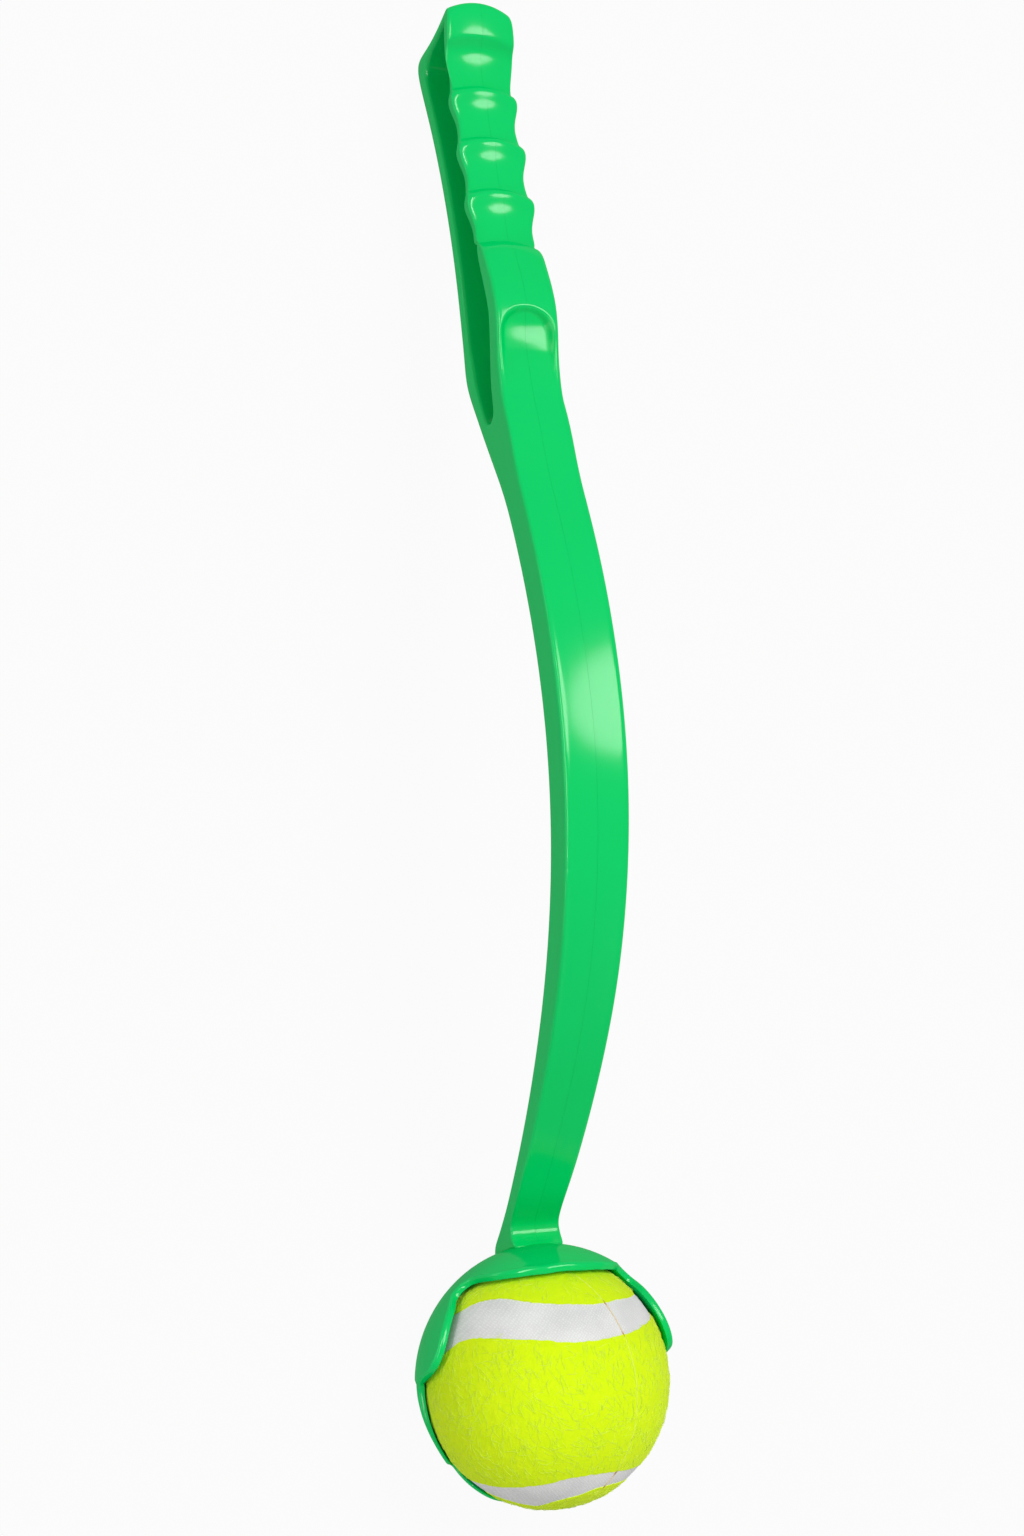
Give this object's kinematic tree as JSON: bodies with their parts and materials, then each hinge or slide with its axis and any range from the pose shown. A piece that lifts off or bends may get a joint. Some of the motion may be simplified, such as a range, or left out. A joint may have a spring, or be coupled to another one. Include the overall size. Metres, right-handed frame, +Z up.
{
  "type": "dog ball launcher",
  "caption": "Bowed plastic stick for throwing a dog's ball, with a ribbed loop handle, a cup of curved claws and a felt-covered ball that lifts out of the cup.",
  "frame": {"origin": "middle of the length and width, on the floor that the launcher lies on", "axes": "+Y from the cup to the butt of the handle, +Z up on the ball's side, X across the stick"},
  "size_m": [0.0704, 0.418, 0.0917],
  "materials": {
    "launcher_plastic": "smooth injection-moulded green plastic with a soft gloss",
    "core_rubber": "plain moulded rubber, hidden under the felt",
    "seam_cement": "dried tan rubber cement",
    "felt_yellow": "fuzzy yellow-green felt with loose fibres",
    "felt_white": "flat white woven cloth with a few green fibres"
  },
  "bodies": {
    "launcher": {"cup": "launcher_plastic", "stick_left": "launcher_plastic", "stick_right": "launcher_plastic"},
    "ball": {"core_lower": "core_rubber", "core_upper": "core_rubber", "seam_cement": "seam_cement", "felt_top_front": "felt_yellow", "felt_top_back": "felt_yellow", "felt_belt_front": "felt_yellow", "felt_belt_back": "felt_yellow", "felt_bottom_front": "felt_yellow", "felt_bottom_back": "felt_yellow", "band_upper_front": "felt_white", "band_upper_back": "felt_white", "band_lower_front": "felt_white", "band_lower_back": "felt_white"}
  },
  "joints": [
    {"name": "ball_release", "type": "slide", "parent": "launcher", "child": "ball", "axis": [0, -0.2079, 0.9781], "range_m": [0, 0.075]}
  ]
}
